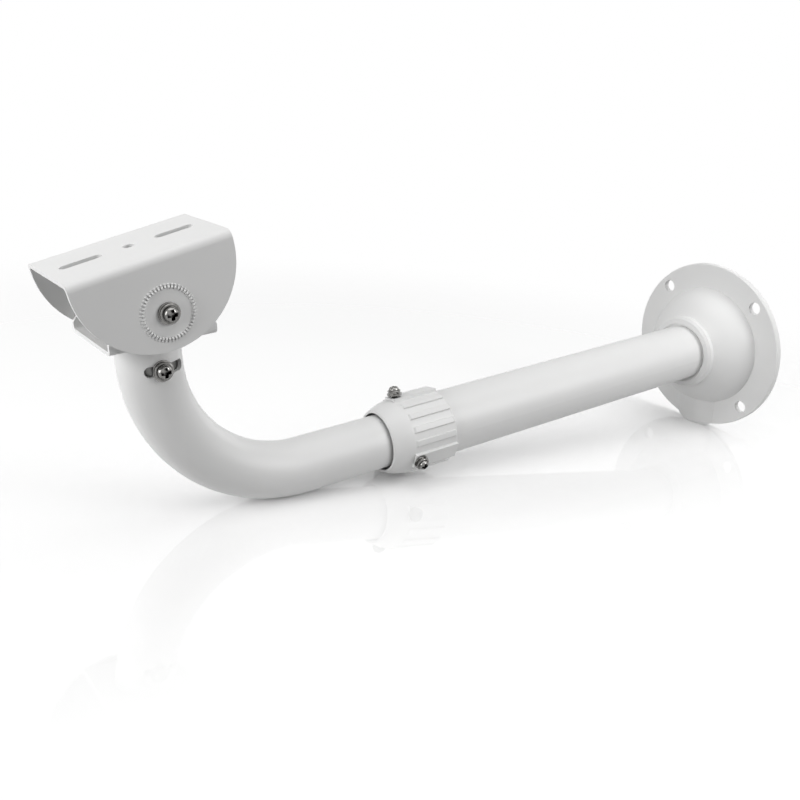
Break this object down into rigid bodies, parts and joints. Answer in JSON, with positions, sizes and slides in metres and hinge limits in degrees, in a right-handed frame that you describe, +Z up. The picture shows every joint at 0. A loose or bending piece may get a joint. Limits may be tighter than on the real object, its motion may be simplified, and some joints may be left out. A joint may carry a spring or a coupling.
{
  "type": "security camera wall bracket",
  "caption": "Telescopic wall bracket for a security camera: round flange, straight tube, clamp collar, bent arm, pan yoke and a tilting slotted saddle.",
  "frame": {"origin": "middle of the back face of the wall flange, on the tube axis", "axes": "+Z up, the wall is the plane Y = 0, the arm reaches along -Y, +X is across"},
  "size_m": [0.125, 0.4728, 0.205],
  "materials": {
    "powder_coat": "satin powder coat, pale grey white",
    "bright_steel": "bright nickel plated steel",
    "zinc_sleeve": "zinc plated steel sleeve",
    "guide_plastic": "dark moulded plastic"
  },
  "bodies": {
    "base": {"wall_flange": "powder_coat", "outer_tube": "powder_coat", "clamp_collar": "powder_coat"},
    "guide": {"guide_ring": "guide_plastic"},
    "arm": {"arm_tube": "powder_coat"},
    "head": {"pan_spigot": "zinc_sleeve", "yoke_bracket": "powder_coat", "pan_lock_screw": "bright_steel", "pan_lock_washer": "bright_steel", "pivot_screw_right": "bright_steel", "pivot_washer_right": "bright_steel", "pivot_nut_right": "bright_steel", "pivot_screw_left": "bright_steel", "pivot_washer_left": "bright_steel", "pivot_nut_left": "bright_steel"},
    "saddle": {"saddle_bracket": "powder_coat"},
    "clamp_top": {"clamp_screw_top": "bright_steel", "clamp_spring_top": "bright_steel", "clamp_washer_top": "bright_steel"},
    "clamp_front": {"clamp_screw_front": "bright_steel", "clamp_spring_front": "bright_steel", "clamp_washer_front": "bright_steel"},
    "clamp_rear": {"clamp_screw_rear": "bright_steel", "clamp_spring_rear": "bright_steel", "clamp_washer_rear": "bright_steel"}
  },
  "joints": [
    {"name": "arm_slide", "type": "slide", "parent": "base", "child": "guide", "axis": [0, -1, 0], "range_m": [-0.046, 0.11]},
    {"name": "arm_turn", "type": "hinge", "parent": "guide", "child": "arm", "pos_m": [0, 0, 0], "axis": [0, -1, 0], "range_deg": [-180, 180]},
    {"name": "head_pan", "type": "hinge", "parent": "arm", "child": "head", "pos_m": [0, -0.43, 0.0937], "axis": [0, 0, 1], "range_deg": [-21, 38]},
    {"name": "saddle_tilt", "type": "hinge", "parent": "head", "child": "saddle", "pos_m": [-0.00015, -0.4278, 0.1092], "axis": [0.9976, 0.0698, 0], "range_deg": [-84.5, 60.5]},
    {"name": "clamp_top_travel", "type": "slide", "parent": "base", "child": "clamp_top", "axis": [-0.1736, 0, 0.9848], "range_m": [-0.0012, 0.0054]},
    {"name": "clamp_front_travel", "type": "slide", "parent": "base", "child": "clamp_front", "axis": [0.9397, 0, -0.342], "range_m": [0, 0.0066]},
    {"name": "clamp_rear_travel", "type": "slide", "parent": "base", "child": "clamp_rear", "axis": [-0.766, 0, -0.6428], "range_m": [0, 0.0066]}
  ]
}
